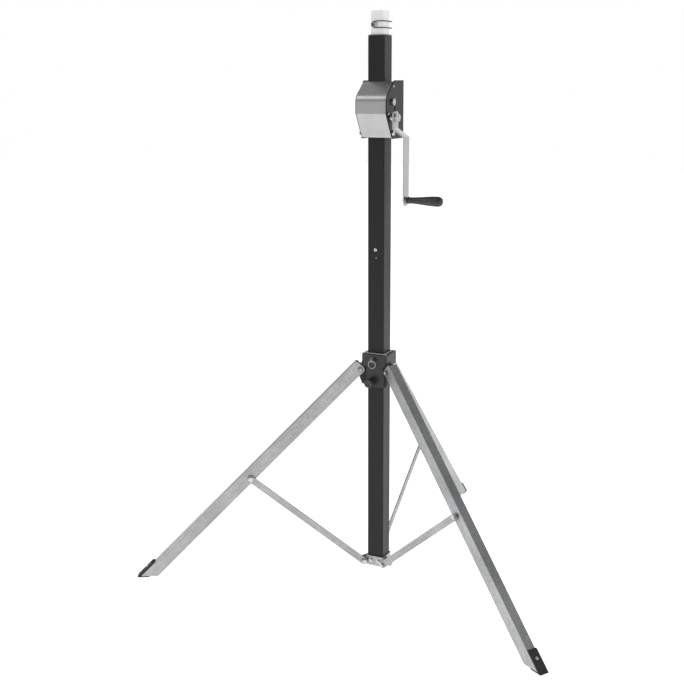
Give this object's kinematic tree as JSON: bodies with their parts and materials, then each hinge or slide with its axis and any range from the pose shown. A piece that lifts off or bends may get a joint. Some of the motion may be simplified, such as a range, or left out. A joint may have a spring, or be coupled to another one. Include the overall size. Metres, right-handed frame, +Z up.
{
  "type": "crank lighting stand",
  "caption": "Wind-up lighting stand: a square mast raised by a hand winch, on a folding tripod with strut-braced channel legs.",
  "frame": {"origin": "on the floor, at the centre of the bottom of the box round the open stand", "axes": "+Z up along the mast, the winch cover faces -Y, the crank is on the +X side"},
  "size_m": [1.2638, 1.0944, 1.616],
  "materials": {
    "black_paint": "satin black powder coat",
    "black_plastic": "moulded, fine grain",
    "foot_rubber": "matt",
    "galvanised": "zinc plated sheet, drawn grain",
    "zinc": "bright zinc plate",
    "aluminium": "drawn, bright",
    "stainless": "brushed across",
    "dark_steel": "blackened steel",
    "nylon": "natural nylon"
  },
  "bodies": {
    "root": {"base_bolt_a": "zinc", "base_bolt_b": "zinc", "base_bolt_c": "zinc", "base_bracket": "galvanised", "cable_lead": "zinc", "cable_run": "zinc", "collar_stop_screw": "zinc", "drum_axle": "zinc", "outer_tube": "black_paint", "pawl_pin": "zinc", "pulley_axle": "zinc", "tie_bolt": "zinc", "top_bush": "black_plastic", "winch_back": "black_paint", "winch_bolt_lower": "zinc", "winch_bolt_upper": "zinc", "winch_cover": "stainless", "winch_side_left": "black_paint", "winch_side_right": "black_paint"},
    "inner_mast": {"inner_tube": "aluminium", "bottom_slider": "nylon", "spigot_socket": "aluminium", "lock_pin": "dark_steel"},
    "clip_wire": {"wire_bail": "dark_steel"},
    "drum": {"cable_drum": "dark_steel", "drum_gear": "dark_steel", "cable_coil": "zinc"},
    "crank": {"crank_shaft": "zinc", "pinion": "dark_steel", "ratchet_wheel": "zinc", "crank_arm": "zinc", "crank_nut": "zinc", "grip_spindle": "zinc"},
    "grip": {"crank_grip": "black_plastic"},
    "ratchet_pawl": {"pawl": "zinc"},
    "pulley": {"cable_pulley": "nylon"},
    "collar": {"leg_collar": "black_plastic", "collar_liner": "nylon", "plunger_housing": "zinc", "leg_bolt_a": "zinc", "leg_bolt_b": "zinc", "leg_bolt_c": "zinc"},
    "knob": {"lock_knob": "black_plastic", "lock_screw": "zinc"},
    "plunger": {"pull_pin": "zinc"},
    "plunger_ring": {"pull_ring": "zinc"},
    "leg_a_body": {"leg_a": "galvanised", "foot_a": "foot_rubber"},
    "strut_a_body": {"strut_a": "galvanised", "strut_bolt_a": "zinc"},
    "leg_b_body": {"leg_b": "galvanised", "foot_b": "foot_rubber"},
    "strut_b_body": {"strut_b": "galvanised", "strut_bolt_b": "zinc"},
    "leg_c_body": {"leg_c": "galvanised", "foot_c": "foot_rubber"},
    "strut_c_body": {"strut_c": "galvanised", "strut_bolt_c": "zinc"}
  },
  "joints": [
    {"name": "crank_turn", "type": "hinge", "parent": "root", "child": "crank", "pos_m": [0, -0.22404, 1.33821], "axis": [-1, 0, 0], "range_deg": [0, 13860]},
    {"name": "mast_slide", "type": "slide", "parent": "root", "child": "inner_mast", "axis": [0, 0, 1], "range_m": [0, 1.176]},
    {"name": "drum_spin", "type": "hinge", "parent": "root", "child": "drum", "pos_m": [0, -0.21304, 1.379], "axis": [1, 0, 0], "range_deg": [0, 6567]},
    {"name": "pulley_spin", "type": "hinge", "parent": "root", "child": "pulley", "pos_m": [0, -0.20604, 1.404], "axis": [1, 0, 0], "range_deg": [0, 6180]},
    {"name": "grip_spin", "type": "hinge", "parent": "crank", "child": "grip", "pos_m": [0.15, -0.22404, 1.12021], "axis": [1, 0, 0], "continuous": true},
    {"name": "pawl_lift", "type": "hinge", "parent": "root", "child": "ratchet_pawl", "pos_m": [0.0496, -0.19404, 1.34721], "axis": [-1, 0, 0], "range_deg": [0, 25], "stiffness_Nm_per_rad": 0.02, "springref_deg": -17.19},
    {"name": "clip_swing", "type": "hinge", "parent": "inner_mast", "child": "clip_wire", "pos_m": [0.001, -0.14304, 1.58], "axis": [0, 0, 1], "range_deg": [0, 110]},
    {"name": "collar_slide", "type": "slide", "parent": "root", "child": "collar", "axis": [0, 0, 1], "range_m": [0, 0.29093]},
    {"name": "leg_fold_a", "type": "hinge", "parent": "collar", "child": "leg_a_body", "pos_m": [-0.04737, -0.20139, 0.62726], "axis": [0.5, -0.866, 0], "range_deg": [0, 44.8]},
    {"name": "strut_fold_a", "type": "hinge", "parent": "root", "child": "strut_a_body", "pos_m": [-0.03871, -0.19639, 0.034], "axis": [-0.5, 0.866, 0], "range_deg": [0, 49.66]},
    {"name": "leg_fold_b", "type": "hinge", "parent": "collar", "child": "leg_b_body", "pos_m": [0.04737, -0.20139, 0.62726], "axis": [0.5, 0.866, 0], "range_deg": [0, 44.8]},
    {"name": "strut_fold_b", "type": "hinge", "parent": "root", "child": "strut_b_body", "pos_m": [0.03871, -0.19639, 0.034], "axis": [-0.5, -0.866, 0], "range_deg": [0, 49.66]},
    {"name": "leg_fold_c", "type": "hinge", "parent": "collar", "child": "leg_c_body", "pos_m": [0, -0.11934, 0.62726], "axis": [-1, 0, 0], "range_deg": [0, 44.8]},
    {"name": "strut_fold_c", "type": "hinge", "parent": "root", "child": "strut_c_body", "pos_m": [0, -0.12934, 0.034], "axis": [1, 0, 0], "range_deg": [0, 49.66]},
    {"name": "knob_turn", "type": "hinge", "parent": "collar", "child": "knob", "pos_m": [-0.007, -0.22404, 0.59426], "axis": [0, -1, 0], "range_deg": [0, 720]},
    {"name": "plunger_pull", "type": "slide", "parent": "collar", "child": "plunger", "axis": [0, -1, 0], "range_m": [0, 0.008], "stiffness_N_per_m": 1500, "springref_m": -0.004},
    {"name": "ring_swing", "type": "hinge", "parent": "plunger", "child": "plunger_ring", "pos_m": [0, -0.22304, 0.66026], "axis": [1, 0, 0], "range_deg": [-35, 20]}
  ],
  "couplings": [
    {"joint": "leg_fold_a", "follows": "collar_slide", "rad_per_m": 2.6876},
    {"joint": "strut_fold_a", "follows": "collar_slide", "rad_per_m": 2.9783},
    {"joint": "leg_fold_b", "follows": "collar_slide", "rad_per_m": 2.6876},
    {"joint": "strut_fold_b", "follows": "collar_slide", "rad_per_m": 2.9783},
    {"joint": "leg_fold_c", "follows": "collar_slide", "rad_per_m": 2.6876},
    {"joint": "strut_fold_c", "follows": "collar_slide", "rad_per_m": 2.9783},
    {"joint": "mast_slide", "follows": "crank_turn", "m_per_rad": 0.0048553},
    {"joint": "drum_spin", "follows": "crank_turn", "ratio": 0.47368},
    {"joint": "pulley_spin", "follows": "crank_turn", "ratio": 0.4434}
  ]
}
